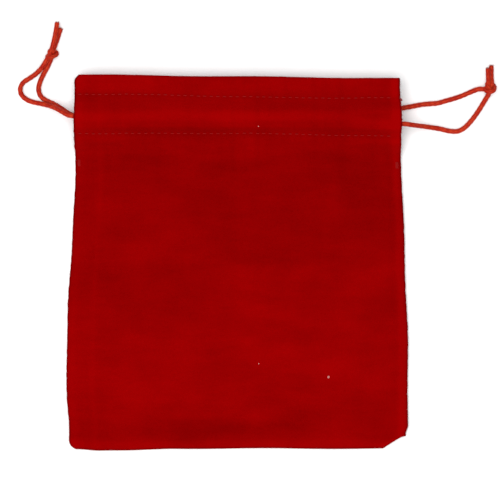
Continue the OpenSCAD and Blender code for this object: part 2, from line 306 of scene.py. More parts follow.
class Finish:
    """A material with one Principled shader, and the means to add nodes to it."""

    def __init__(self, name, **constants):
        self.material = bpy.data.materials.new(name)
        self.material.use_nodes = True
        self.tree = self.material.node_tree
        self.shader = self.tree.nodes["Principled BSDF"]
        for key, value in constants.items():
            self.shader.inputs[key.replace("_", " ")].default_value = value

    def add(self, kind, settings=None, sockets=None, output=0):
        """Adds a node of a kind: its settings first, then its sockets' values or links."""
        node = self.tree.nodes.new(kind)
        for key, value in (settings or {}).items():
            setattr(node, key, value)
        for key, value in (sockets or {}).items():
            if isinstance(value, Wire):
                self.tree.links.new(value.socket, node.inputs[key])
            else:
                node.inputs[key].default_value = value
        return Wire(self.tree, node.outputs[output])

    def feed(self, **wires):
        """Links wires to the shader's sockets, such as Base_Color."""
        for key, wire in wires.items():
            self.tree.links.new(wire.socket, self.shader.inputs[key.replace("_", " ")])

    def place(self):
        """Object coordinates, in metres."""
        return self.add("ShaderNodeTexCoord", output="Object")

    def mark(self, name):
        """The number kept on the mesh under that name."""
        return self.add("ShaderNodeAttribute", {"attribute_name": name}, output="Fac")

    def noise(self, where, scale, detail=3.0, roughness=0.55):
        """A cloudy number near a half, of that scale per metre."""
        return self.add("ShaderNodeTexNoise", None, {
            "Vector": where, "Scale": scale, "Detail": detail, "Roughness": roughness})

    def mix(self, share, first, second):
        """The first colour where share is 0 and the second where it is 1."""
        return self.add("ShaderNodeMix", {"data_type": "RGBA", "clamp_factor": True},
                        {0: share, 6: first, 7: second}, output=2)

    def bump(self, height, distance, strength=1.0):
        """A normal from a height between 0 and 1 that stands for distance metres."""
        return self.add("ShaderNodeBump", None, {
            "Height": height, "Distance": distance, "Strength": strength})


def braid_finish():
    """Satin polyester braid: orange-red threads with a painted highlight on the crown of each
    strand and painted shade, dark red, in the grooves, with fine threads along the strands."""
    finish = Finish("satin braid", Specular_IOR_Level=0.08, Sheen_Weight=0.08,
                    Sheen_Roughness=0.4, Sheen_Tint=(1.0, 0.12, 0.04, 1.0))
    swell = finish.mark("swell")
    ply = finish.mark("ply")
    here = finish.place()
    worn = finish.noise(here, 420, 2.0)
    fibre = finish.noise(here, 9000, 2.0, 0.7)
    # painted light: the swell mark paints a highlight on each strand's crown and shade in the
    # grooves between strands
    painted_crown_and_groove = finish.mix(swell * 1.15 - 0.12, (0.12, 0.001, 0.0005, 1), (0.5, 0.015, 0.003, 1))
    warm = finish.mix(ply * 0.3 + worn * 1.7 - 0.72, painted_crown_and_groove, (0.6, 0.055, 0.014, 1))
    colour = finish.mix(fibre * 0.6 - 0.14, warm, (0.3, 0.006, 0.002, 1))
    finish.feed(Base_Color=colour, Roughness=0.42 + 0.25 * fibre,
                Normal=finish.bump(fibre, 0.00006, 0.6))
    return finish.material


braid = braid_finish()


def tapered_fibres(roots, ways, lengths, thick, rng):
    """Three-sided fibres that narrow to a point: each from a root along its way, set in a
    little so that it grows out of what it stands on."""
    ways = ways / np.linalg.norm(ways, axis=1)[:, None]
    side = np.cross(ways, rng.normal(0, 1, ways.shape))
    side /= np.linalg.norm(side, axis=1)[:, None]
    other = np.cross(ways, side)
    points = [roots - 0.15 * ways + thick / 2 * (math.cos(a) * side + math.sin(a) * other)
              for a in np.radians((0, 120, 240))]
    points = np.stack([*points, roots + ways * lengths[:, None]], 1).reshape(-1, 3)
    points[:, 2] = np.maximum(points[:, 2], 0.02)
    one = np.array([(0, 1, 3), (1, 2, 3), (2, 0, 3), (0, 2, 1)])
    tris = (one[None] + 4 * np.arange(len(roots))[:, None, None]).reshape(-1, 3)
    return points, np.zeros((0, 4), int), tris


def frayed_tip(path, seed):
    """The cut end of a cord: a tuft of loose filaments that spread from its face."""
    rng = np.random.default_rng(seed)
    count = 90
    way = path[-1] - path[-4]
    way /= np.linalg.norm(way)
    spot = rng.normal(0, 0.36, (count, 3))
    spot -= np.outer(spot @ way, way)
    ways = way + spot * 0.75 + rng.normal(0, 0.16, (count, 3))
    lengths = rng.uniform(0.3, 1.0, count)
    mesh = tapered_fibres(path[-1] + spot - 0.2 * way, ways, lengths, 0.12, rng)
    marks = {"swell": np.repeat(rng.uniform(0.3, 0.9, count), 4), "ply": np.zeros(4 * count)}
    return (*mesh, marks)


# Tying the knot, in cord diameters: the spacing of the rope's points and the reach of one
# pull. Then how many pulls, and how far to each side of its middle the knot is kept
ROPE_STEP = 0.36
PULL = 0.02
PULLS = 4000
KNOT_REACH = 1.75


def pulled_tight():
    """The middle line of an overhand knot, in cord diameters, as places along, across and
    up. It starts as an open trefoil, whose places grow with t^3 - 3t, t^4 - 4t^2 and
    t^5 - 10t. Each pull then draws its two ends apart, brings neighbours back to their
    spacing, eases the bends, and parts what has come closer than a diameter."""
    t = np.linspace(-2.15, 2.15, 400)
    rope = np.column_stack([0.55 * (t**3 - 3 * t), 0.55 * (t**4 - 4 * t**2),
                            0.1 * (t**5 - 10 * t)])
    rope = at_places(rope, np.arange(0, travelled(rope)[-1], ROPE_STEP))
    one, other = np.triu_indices(len(rope), k=4)
    for _ in range(PULLS):
        rope[[0, -1], 0] += (-PULL, PULL)
        rope[[0, 1, -2, -1], 1:] *= 0.9
        step = np.diff(rope, axis=0)
        back = 0.45 * step * (1 - ROPE_STEP / np.linalg.norm(step, axis=1)[:, None])
        rope[:-1] += back
        rope[1:] -= back
        rope[1:-1] += 0.01 * (rope[:-2] + rope[2:] - 2 * rope[1:-1])
        apart = rope[other] - rope[one]
        gap = np.linalg.norm(apart, axis=1)
        near = gap < 1
        push = apart[near] * (0.3 * (1 / gap[near] - 1))[:, None]
        np.subtract.at(rope, one[near], push)
        np.add.at(rope, other[near], push)
    knotted = rope[np.abs(rope[:, 0]) < KNOT_REACH]
    return knotted - (0, knotted[:, 1].mean(), 0)


TIGHT_KNOT = pulled_tight()


def turned(first, second, degrees):
    """Two axes' numbers after a turn by that angle from the first towards the second."""
    c, s = math.cos(math.radians(degrees)), math.sin(math.radians(degrees))
    return first * c - second * s, first * s + second * c


def overhand(centre, lean, roll, thick, seed):
    """An overhand knot pulled tight round both strands: a cord pressed to that thickness,
    rolled about the line of the strands and leaning from the bag's length."""
    along, across, up = (TIGHT_KNOT * thick).T
    across, up = turned(across, up, roll)
    across, along = turned(across, 0.9 * along, -lean)
    path = smooth_route(centre + np.column_stack([across, along, up]))
    return braid_tube(path, thick * 1.04, (0.1, 1, 0.1), seed, ends=(0.9, 0.9))


def joined(parts):
    """Several meshes' points, faces and marks as one."""
    shift = np.cumsum([0] + [len(p[0]) for p in parts])
    points = np.vstack([p[0] for p in parts])
    quads = np.vstack([p[1] + k for p, k in zip(parts, shift)])
    tris = np.vstack([p[2] + k for p, k in zip(parts, shift)])
    marks = {key: np.concatenate([p[3][key] for p in parts]) for key in parts[0][3]}
    return points, quads, tris, marks


def finish_piece(piece, material, slot_name, body, *nodes):
    """Gives the piece its material, has it ride on a body and stand for nodes; slot_name is not
    used.
    """
    piece.data.materials.append(material)
    if body:
        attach(piece, body)
    if nodes:
        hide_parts(*nodes)
    return piece


def run_in_casing(side_name):
    """A cord's hidden length: straight in through the front casing with its drift, half a
    turn round the end of the hem, and straight back out through the back casing."""
    side, drift = SIDES[side_name], RUN_DRIFT[side_name]
    front_y, back_y, turn_x = RUNS[side_name]
    turn_r = math.hypot(front_y + drift - back_y, FRONT_RUN_Z - BACK_RUN_Z) / 2
    bend = np.radians(np.linspace(0, 180, 60))
    share = (1 - np.cos(bend)) / 2
    inward = np.linspace(0, 1, 30)
    path = np.vstack([
        np.column_stack([
            side * (EXIT_X - DRIFT_LENGTH * inward),
            CASING_Y + front_y + drift * smooth(inward),
            FRONT_RUN_Z + 0 * inward,
        ]),
        np.column_stack([
            turn_x - side * turn_r * np.sin(bend),
            CASING_Y + front_y + drift + (back_y - front_y - drift) * share,
            FRONT_RUN_Z + (BACK_RUN_Z - FRONT_RUN_Z) * share,
        ]),
        [side * EXIT_X, CASING_Y + back_y, BACK_RUN_Z],
    ])
    length = travelled(path)[-1]
    return at_places(path, np.linspace(0, length, round(length / (2 * RING))))


for side_name, side in SIDES.items():
    body = f"{side_name}_cord"
    at, lean, roll, thick = KNOTS[side_name]
    points, quads, tris, marks = overhand(placed([at], side)[0], lean, roll, thick, 40 + side)
    knot = new_piece(f"{side_name}_overhand_knot", points, quads, tris, **marks)
    finish_piece(knot, braid, "cord", body, f"{side_name}_knot")
    for layer in ("front", "back"):
        path = smooth_route(placed(STRANDS[f"{side_name}_{layer}"], side))
        tube = braid_tube(path, CORD_D, seed=len(path), ends=(0, 0.3))
        points, quads, tris, marks = joined([tube, frayed_tip(path, len(path))])
        strand = new_piece(f"{side_name}_{layer}_cord_end", points, quads, tris, **marks)
        finish_piece(strand, braid, "cord", body,
                     f"{side_name}_{layer}_strand", f"{side_name}_{layer}_tail")

    hidden = run_in_casing(side_name)
    length = travelled(hidden)[-1]
    points, quads, tris, marks = braid_tube(
        hidden, CORD_D, seed=7 + side, ends=(0, 0), pitch=length / round(length / BRAID_PITCH))
    run = new_piece(f"{side_name}_cord_in_casing", points, quads, tris, **marks)
    finish_piece(run, braid, "cord", body, f"{side_name}_cord_run")

# ---------------------------------------------------------------- the velvet bag
# Two panels of cotton-backed velvet, sewn pile to pile up the sides and along the bottom
# and turned right side out. Each panel is turned in at the mouth and held by two rows of
# stitches, whose casing holds the drawstrings. Here each is one sheet, hem included.
CLOTH = 0.8
# Half a sheet's thickness with its pile, which is also the radius of its fold at the mouth
HALF = 0.42
high_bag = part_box("back_panel")[1]
HALF_BODY = high_bag[0] / MM
HALF_LENGTH = high_bag[1] / MM
# The sides taper over this length, up to this place along the bag
TAPER_Y, TAPER = 40.0, 75.0
# The closed end of the side slits, and how soon above it the edges lie flat
SLIT_Y, SLIT = 42.5, 7.0
HEM_END = 49.5
# Radii of the corners at the bottom and the mouth
CORNER, MOUTH_CORNER = 4, 3
# The bottom corner on the right isn't pushed right out: how far along and up it is cut off
TUCK_W, TUCK_H = 10, 5
SEAM_ROLL = 1.4
HEM_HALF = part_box("front_hem")[1][0] / MM
HEADER_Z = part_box("front_hem")[1][2] / MM + CLOTH / 2
DOME = HEADER_Z - 4 * CLOTH
RIDGE = 2.6
STITCH_PITCH = 2.6


def mix(a, b, share):
    """a where share is 0 and b where it is 1."""
    return a + (b - a) * share


def round_in(d, r):
    """How far a corner of radius r draws an edge in, at a distance d from its end."""
    return np.where(d < r, r - np.sqrt(np.clip(r * r - (r - d) ** 2, 0, None)), 0)


def waves(x, y, seed, count, length, spread=1.0):
    """A gentle unevenness between about -1 and 1: the mean of count sine waves of random
    headings, each length millimetres long or a bit off it; spread stretches them along x."""
    rng = np.random.default_rng(seed)
    total = 0
    for _ in range(count):
        way = rng.uniform(0, 2 * np.pi)
        step = 2 * np.pi / (length * rng.uniform(0.7, 1.5))
        total = total + np.sin(
            step * (x * np.cos(way) / spread + y * np.sin(way)) + rng.uniform(0, 2 * np.pi)
        )
    return total / math.sqrt(count) / 1.2


def edges(y):
    """The bag's left and right edges at y: it narrows towards the mouth, the left corners
    are rounded, and the right corner at the bottom isn't pushed right out."""
    half = mix(EXIT_X, HALF_BODY, smooth((TAPER_Y - y) / TAPER))
    up, down = y + HALF_LENGTH, HALF_LENGTH - y
    left = -half + round_in(up, CORNER) + round_in(down, MOUTH_CORNER)
    left = left + 0.13 * np.sin(y / 5.1 + 1)
    left = left + 0.9 * smooth((-52 - y) / 16) + 0.07 * waves(y, 0 * y, 11, 5, 3.5)
    slack = 1.1 * np.exp(-(((y - 24) / 22) ** 2)) + 0.5 * np.exp(-(((y - 60) / 7) ** 2))
    slack = slack + 0.12 * np.sin(y / 6.3) + 0.07 * waves(y, 0 * y, 12, 5, 3.5)
    slack = slack + 0.35 * np.exp(-(((up - 5.3) / 0.4) ** 2))
    tuck = np.where(up < TUCK_H, 1.9 + (TUCK_W - 1.9) * np.clip(1 - up / TUCK_H, 0, 1) ** 0.9,
                    1.1 * smooth((9.5 - up) / 4.5))
    return left, half + slack - tuck - round_in(down, 0.6)


def lie(x, y):
    """Where the cloth at x, y of the plain outline comes to lie along the bag: the mouth
    slopes down to the right, and the bottom's middle is drawn up a little."""
    slope = -0.012 * x * smooth((y - 20) / 30)
    drawn = (0.9 * smooth((x + 46) / 22) + 0.7 * smooth((-55 - x) / 9)) * smooth((-52 - y) / 22)
    return y + slope + drawn + 0.16 * np.sin(x / 9.0 + 0.4) * smooth(np.abs(y) / 60)


def row_at(row, x):
    """The height along the bag of a stitch row, which wanders as hand-guided sewing does."""
    return row - 0.0105 * x + 0.3 * np.sin(x / 23 + row) + 0.12 * np.sin(x / 7.1)


def cord_lines(x):
    """Where the lower and the upper of the two cords lie in the front casing at x."""
    left_run, right_run = RUNS["left"], RUNS["right"]
    lower = CASING_Y + right_run[0] + RUN_DRIFT["right"] * smooth((EXIT_X - x) / DRIFT_LENGTH)
    return lower, CASING_Y + left_run[0] + 0 * x


def ridge(y, x, low, high):
    """How far the casing is lifted, from 0 at the stitch rows to 1 over the cords."""
    bottom, top = row_at(LOWER_ROW, x) + 0.4, row_at(UPPER_ROW, x) - 0.4
    return smooth((y - bottom) / (low - bottom)) * smooth((top - y) / (top - high))


def pinch(x, y):
    """How far the two layers are drawn together: 1 along a row of stitches, most where
    each stitch dives in."""
    total = 0
    for row in (UPPER_ROW, LOWER_ROW):
        off = (y - row_at(row, x)) / 0.75
        total = total + np.exp(-off * off) * (0.72 + 0.28 * np.cos(2 * np.pi * x / STITCH_PITCH))
    return total


def pleats(x, y):
    """The small standing folds across the mouth, which close up when the cords are pulled:
    waves along x that fade out down the body, and don't all run equally deep."""
    deep = 0.65 + 0.35 * waves(x, y, 5, 5, 30)
    fine = 0.18 * np.sin(2 * np.pi * x / 5.6 + 1.4 * waves(x, 0 * y, 6, 4, 34))
    broad = 0.25 * np.sin(2 * np.pi * x / 12.5 + 1.5 * waves(x, 0 * y, 7, 4, 50))
    return deep * (fine * smooth((y - 22) / 30) + broad * smooth((y + 5) / 60))


def rounded(d):
    """A quarter circle: the height of a round edge at the share d of its radius."""
    return np.sqrt(1 - (1 - np.clip(d, 0, 1)) ** 2)


def swell_up(d):
    """How far the front has risen at a distance d from a seam, from 0 to 1: quickly over
    the seam's folded edge and then slowly over the allowances inside."""
    lip = np.sin(np.pi / 2 * np.clip((d - 0.9) / 6, 0, 1))
    return 0.3 * lip + 0.7 * smooth((d - 3) / 27)


def front_outer(x, y, side):
    """The middle of the front panel's thickness: side is the distance from its edge."""
    up = y + HALF_LENGTH
    opened = smooth((y - SLIT_Y) / SLIT)
    tucked = np.minimum(mix(rounded(side / SEAM_ROLL), 1, opened), rounded(up / SEAM_ROLL))
    risen = mix(swell_up(side), 1, opened) * swell_up(up)
    lower, upper = cord_lines(x)
    lifted = RIDGE * (1 + 0.04 * waves(x, 0 * y, 9, 4, 26))
    soft = risen * (0.7 * waves(x, y, 3, 7, 46, 1.5) + 0.2 * waves(x, y, 4, 8, 15, 2.0))
    return (0.98 + 1.42 * tucked + DOME * risen + CLOTH * smooth((y - HEM_END + 4) / 4)
            + lifted * ridge(lie(x, y), x, lower - 1.5, upper + 1.3)
            - 0.2 * pinch(x, lie(x, y)) + pleats(x, y) + soft * (1 - smooth((y - 44) / 8)))


def front_hem(x, y, side):
    """The middle of the front hem, flat under the panel right up to its sides."""
    return HEADER_Z - 0.82 + pleats(x, y) + 0.1 * pinch(x, lie(x, y))


def back_outer(x, y, side):
    """The middle of the back panel, flat on the table and rounded up at the seams."""
    up = y + HALF_LENGTH
    flat = np.minimum(side, up)
    rolled = 0.26 * (1 - np.clip(flat / SEAM_ROLL, 0, 1)) ** 2
    return HALF + rolled + 0.1 * pinch(x, lie(x, y))


def back_hem(x, y, side):
    """The middle of the back hem, lifted over the cords in the back casing."""
    lower = CASING_Y + RUNS["left"][1]
    upper = CASING_Y + RUNS["right"][1]
    return (1.26 + RIDGE * ridge(lie(x, y), x, lower - 1.4, upper + 1.4)
            - 0.05 * pinch(x, lie(x, y)))


def steps(*parts):
    """Even steps between the places given as (from, to, step), joined into one list."""
    return np.concatenate([
        np.linspace(a, b, max(1, round(abs(b - a) / s)), endpoint=False) for a, b, s in parts
    ])


# Along an edge the grid's lines lie closer, at these distances and up to the last line
RIM = np.array([0, 0.05, 0.14, 0.28, 0.46, 0.7, 1.05, 1.5, 2.1, 2.8])
RIM_END = 3.6


def panel_grid(outer, hem, mirrored):
    """The middle surface of a panel and its hem, row by row from the bottom seam up over
    the mouth's fold and down inside to the hem's raw edge; with it, the distance to the
    nearest edge, and the place on the cloth before it was folded."""
    width = 2 * HALF_BODY
    across = np.concatenate([RIM, steps((RIM_END, width - RIM_END, 0.76)),
                             [width - RIM_END], width - RIM[::-1]])
    across /= width
    fold = math.pi * np.linspace(0, 1, 11)[1:-1]
    turn_y = HALF_LENGTH - CLOTH
    body = np.concatenate([
        RIM - HALF_LENGTH,
        steps((RIM_END - HALF_LENGTH, 7 - HALF_LENGTH, 0.3), (7 - HALF_LENGTH, 46, 1.0),
              (46, 69, 0.46), (69, turn_y, 0.6)), [turn_y],
    ])
    inside = np.concatenate([steps((turn_y, 69, 0.75), (69, HEM_END + 1, 0.62)),
                             HEM_END + np.array([1.0, 0.6, 0.3, 0.12, 0])])
    y = np.concatenate([body, turn_y + (CLOTH - HALF) * np.sin(fold), inside])
    turned = np.concatenate([0 * body, (1 - np.cos(fold)) / 2, 1 + 0 * inside])
    run = np.concatenate([body, turn_y + HALF * fold, 2 * turn_y + HALF * math.pi - inside])
    y, turned, run = y[:, None], turned[:, None], run[:, None]
    left, right = edges(y)
    drawn_in = smooth((turned - 0.5) * 2) * smooth((HALF_LENGTH + 0.2 - y) / 5)
    left = mix(left, -HEM_HALF, drawn_in)
    right = mix(right, HEM_HALF, drawn_in)
    share = across[None]
    x = mix(left, right, share)
    side = np.minimum(share, 1 - share) * (right - left)
    from_edge = np.minimum(side, np.minimum(run - run[0], run[-1] - run))
    y = y + 0 * x
    z = mix(outer(x, y, side), hem(x, y, side), turned)
    mid = np.stack([x, lie(x, y), z], -1)
    flat = np.stack([x, run + 0 * x, 0 * x], -1)
    if mirrored:
        mid, flat, from_edge = mid[:, ::-1], flat[:, ::-1], from_edge[:, ::-1]
    return mid, flat, from_edge, len(body) + len(fold) // 2


def cloth_sheet(name, mid, flat, from_edge, thick=CLOTH, **marks):
    """A closed sheet: the middle surface moved out both ways along its normal by half the
    thickness, thinned to a round edge, with the two faces joined around the rim. thick is
    one number, or one for each point."""
    rows, cols = mid.shape[:2]
    normal = np.cross(np.gradient(mid, axis=1), np.gradient(mid, axis=0))
    normal /= np.maximum(np.linalg.norm(normal, axis=2), 1e-9)[..., None]
    half = (thick / 2 * np.clip(rounded(from_edge / (thick * 0.6)), 0.06, 1))[..., None]
    faces = np.concatenate([(mid + normal * half).reshape(-1, 3),
                            (mid - normal * half).reshape(-1, 3)])
    n = rows * cols
    quads = grid_faces(rows, cols)
    index = np.arange(n).reshape(rows, cols)
    loop = np.concatenate([index[0, :-1], index[:-1, -1], index[-1, :0:-1], index[:0:-1, 0]])
    after = np.roll(loop, -1)
    rim = np.column_stack([loop + n, after + n, after, loop])
    doubled = {key: np.concatenate([m.ravel(), m.ravel()]) for key, m in marks.items()}
    piece = new_piece(name, faces, np.vstack([quads, quads[:, ::-1] + n, rim]), **doubled)
    place = piece.data.attributes.new("flat", "FLOAT_VECTOR", "POINT")
    both = np.concatenate([flat.reshape(-1, 3), flat.reshape(-1, 3) + [0, 0, 5]]) * MM
    place.data.foreach_set("vector", both.astype(np.float32).ravel())
    side = np.concatenate([np.zeros(len(quads)), np.ones(len(quads)), np.zeros(len(rim))])
    piece.data.polygons.foreach_set("material_index", side.astype(np.int32))
    return piece


# The weight for drawing in grows from the first place along the bag to the second, and
# above the third it eases a little, where the header opens out again
GATHER_FROM, GATHER_FULL, FLARE_FROM = -48, 56, 67


def gathers(piece):
    """Bakes the piece's place into its mesh and works out how far each point would draw in
    with the mouth when the cords are pulled: with the cord of the far side by its share of the
    half width, in full at the casing and not at all low on the body, and by as much the other
    way with the near side's cord. The weight is not kept, so nothing draws in."""
    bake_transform(piece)
    points = np.empty(3 * len(piece.data.vertices))
    piece.data.vertices.foreach_get("co", points)
    x, y, _ = points.reshape(-1, 3).T / MM
    half = mix(EXIT_X, HALF_BODY, smooth((TAPER_Y - y) / TAPER)) + 0.5
    drawn = smooth((y - GATHER_FROM) / (GATHER_FULL - GATHER_FROM))
    drawn = drawn - 0.06 * smooth((y - FLARE_FROM) / 8)
    weight = 0.5 + 0.5 * np.clip(x / half, -1, 1) * drawn
    return piece


def velvet_finish(name, deep, bright, backing=False):
    """Crushed cotton velvet: short pile that takes the light unevenly in soft clouds and
    sideways streaks, with painted light and shade laid in; darker where it is pinched by
    stitches, part crushed pile and part painted shade, and painted shade where it is turned
    away at an edge."""
    finish = Finish(name, Specular_IOR_Level=0.0, Roughness=0.95,
                    Sheen_Weight=0.1 if backing else 0.55, Sheen_Roughness=0.38,
                    Sheen_Tint=(1.0, 0.02, 0.02, 1.0))
    flat = finish.add("ShaderNodeAttribute", {"attribute_name": "flat"}, output="Vector")
    sideways = finish.add("ShaderNodeMapping", None, {"Vector": flat, "Scale": (0.22, 1, 1)})
    cloud = finish.noise(flat, 30, 4.0, 0.6)
    streak = finish.noise(sideways, 110, 3.0, 0.6)
    pile = finish.noise(flat, 2600, 2.0, 0.75)
    tuft = finish.noise(flat, 900, 2.0, 0.6)
    tone = (cloud - 0.5) * 1.45 + (streak - 0.5) * 0.9 + (pile - 0.5) * 0.85
    # the pile's painted light and shade, kept on the mesh, comes into its tone here
    tone = tone + (tuft - 0.5) * 0.45 + finish.mark("nap") + 0.5
    colour = finish.mix(tone, deep, bright)
    # painted shade: the mark from the mesh darkens the colour at the edges and the mouth's fold,
    # and along the stitch rows, where the pile is also crushed
    shaded = finish.mix(finish.mark("crush"), colour, (deep[0] * 0.42, 0.0002, 0.0004, 1))
    height = pile * 0.7 + tuft * 0.5
    finish.feed(Base_Color=shaded, Roughness=0.88 + 0.1 * pile,
                Normal=finish.bump(height, 0.00025 if not backing else 0.0001, 0.8))
    return finish.material


velvet = velvet_finish("crushed velvet", (0.17, 0.0001, 0.0003, 1), (0.27, 0.0003, 0.0006, 1))
reverse = velvet_finish("velvet reverse", (0.12, 0.0006, 0.0007, 1), (0.18, 0.001, 0.001, 1),
                        backing=True)


def nap(x, y, side):
    """How much lighter or darker the pile is painted, all of it painted light and shade: painted
    light on the header, over and above the cords, along the seams' folded edges and over the
    left seam's allowance, and painted shade in the upper body and just inside the bottom."""
    up = y + HALF_LENGTH
    lower, upper = cord_lines(x)
    crest = mix((lower + upper) / 2 + 0.7, lower, smooth((x - 30) / 30))
    cords = 0.42 * np.exp(-(((y - crest) / 2.1) ** 2))
    over = 0.26 * np.exp(-(((y - crest - 5) / 2.3) ** 2))
    header = 0.25 * smooth((y - 66.5) / 3) * (1 - 0.5 * smooth((x + 50) / 60))
    lip = 0.32 * np.exp(-(((up - 2.4) / 2.2) ** 2))
    lip = lip + (0.17 + 0.45 * smooth(x / 60)) * np.exp(-(((side - 2.2) / 1.8) ** 2))
    hollow = -0.3 * np.exp(-(((up - 9.5) / 4) ** 2)) * (0.6 + 0.4 * np.sin(x / 17 + 2))
    strip = 0.13 * np.exp(-(((side - 10.4) / 1.1) ** 2)) * (x < 0)
    body = -0.14 * np.exp(-(((y - 30) / 18) ** 2)) + 0.22 * np.exp(-(((y + 42) / 20) ** 2))
    body = body - 0.09 * smooth((46 - y) / 6)
    return cords + over + header + lip + hollow + strip + body


panels, grids = {}, {}
for layer, outer, hem in (("front", front_outer, front_hem), ("back", back_outer, back_hem)):
    mid, flat, from_edge, apex = panel_grid(outer, hem, layer == "back")
    x, y = mid[..., 0], mid[..., 1]
    left, right = edges(np.clip(y, -HALF_LENGTH, HALF_LENGTH))
    side = np.minimum(x - left, right - x)
    # painted shade at the edges and over the mouth's fold; along the stitch rows, crushed pile and
    # painted shade
    crush = 0.16 * pinch(x, y) + 0.85 * (1 - np.clip(from_edge / 1.0, 0, 1))
    at_mouth = np.clip(1 - np.abs(flat[..., 1] - HALF_LENGTH) / 0.9, 0, 1)
    crush = np.clip(crush + 0.6 * at_mouth, 0, 1)
    thick = CLOTH * (1 - 0.28 * np.clip(pinch(x, y), 0, 1))
    # the panel's mesh keeps the pile's painted light and shade
    panel = cloth_sheet(f"{layer}_velvet", mid, flat, from_edge, thick,
                        nap=nap(x, y, side), crush=crush)
    finish_piece(panel, velvet, "velvet", None, f"{layer}_panel", f"{layer}_hem")
    panel.data.materials.append(reverse)
    gathers(panel)
    panels[layer], grids[layer] = panel, (mid, from_edge, apex)

# ---------------------------------------------------------------- the seam allowances
# Inside the bag, the two raw edges of each seam lie together in a flat strip about 8 mm
# wide, with the cotton backing outwards. Their cut edges have begun to fray.
ALLOWANCE = 8.0
INSET = 1.6
STRIP = 0.52
low_strip, high_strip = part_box("left_seam_allowance")


def allowance(name, node, along, place):
    """A strip folded in two along the seam: rows follow the seam through along, columns go
    in along the lower layer's width and back along the upper's. place turns the distance
    along the seam and in from it into x and y."""
    turn = np.linspace(0, np.pi, 7)[1:-1]
    width = steps((0, ALLOWANCE, 0.7))
    off = np.concatenate([[ALLOWANCE], width[::-1], -0.29 * np.sin(turn), width, [ALLOWANCE]])
    lift = np.concatenate([0 * width, [0], (1 - np.cos(turn)) / 2, 0 * width + 1, [1]])
    off, lift, along = off[None], lift[None], along[:, None]
    frayed = 0.22 * waves(along + 40 * lift, 0, 21, 6, 1.9) + 0.3 * waves(along, 0, 22, 4, 19)
    inward = INSET + off + frayed * np.clip(off / ALLOWANCE, 0, 1) ** 8
    x, y = place(along + 0 * lift, inward)
    rippled = 0.05 * waves(x, y, 23, 5, 9)
    mid = np.stack([x, lie(x, y), 1.1 + 0.56 * lift + rippled], -1)
    flat = np.stack([x, y, 3 + 0 * x], -1)
    from_edge = np.minimum(along - along[0], along[-1] - along) + 0 * lift
    from_edge = np.minimum(from_edge, ALLOWANCE - off)
    # painted shade along the strip's fold
    crush = np.clip(np.exp(-off / 0.8) + 0 * along, 0, 1) * 0.5
    piece = cloth_sheet(name, mid, flat, from_edge, STRIP, nap=0 * x, crush=crush)
    finish_piece(piece, reverse, "velvet_inside", None, node)
    piece.data.materials.append(reverse)
    return gathers(piece)


def beside_left(along, inward):
    """The place inward of the left edge."""
    return edges(along)[0] + inward, along


def beside_right(along, inward):
    """The place inward of the right edge."""
    return edges(along)[1] - inward, along


def above_bottom(along, inward):
    """The place up from the bottom edge."""
    return along, inward - HALF_LENGTH


side_run = steps((low_strip[1] / MM, high_strip[1] / MM, 0.9))
bottom_run = steps((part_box("bottom_seam_allowance")[0][0] / MM,
                    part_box("bottom_seam_allowance")[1][0] / MM, 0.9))
allowances = [
    allowance("left_allowance", "left_seam_allowance", side_run, beside_left),
    allowance("right_allowance", "right_seam_allowance", side_run, beside_right),
    allowance("bottom_allowance", "bottom_seam_allowance", bottom_run, above_bottom),
]

# ---------------------------------------------------------------- the stitching
# Polyester thread in the velvet's red: two rows of straight stitches round the casing,
# seen on both faces of each panel, the seams' own stitches in the crease between the
# panels, and a bar of close stitches where each side seam ends below the casing.
THREAD = 0.4
STITCH = 1.85
ROW_REACH, HEM_ROW_REACH = 62.2, 54.6


def thread_finish():
    """Spun polyester thread: a slight gloss, and two plies that show as slanting lines of painted
    shade in the grooves between them.
    """
    finish = Finish("sewing thread", Specular_IOR_Level=0.1, Sheen_Weight=0.1,
                    Sheen_Roughness=0.5, Sheen_Tint=(1.0, 0.03, 0.03, 1.0))
    ply = finish.mark("ply")
    fibre = finish.noise(finish.place(), 6000, 2.0, 0.7)
    # painted shade: the thread is darker in the grooves between its plies and lighter on their
    # crowns
    colour = finish.mix(ply * 0.7 + fibre * 0.4 - 0.05, (0.16, 0.0005, 0.0007, 1),
                        (0.36, 0.003, 0.003, 1))
    finish.feed(Base_Color=colour, Roughness=0.5 + 0.2 * fibre,
                Normal=finish.bump(fibre, 0.00004, 0.5))
    return finish.material


thread = thread_finish()


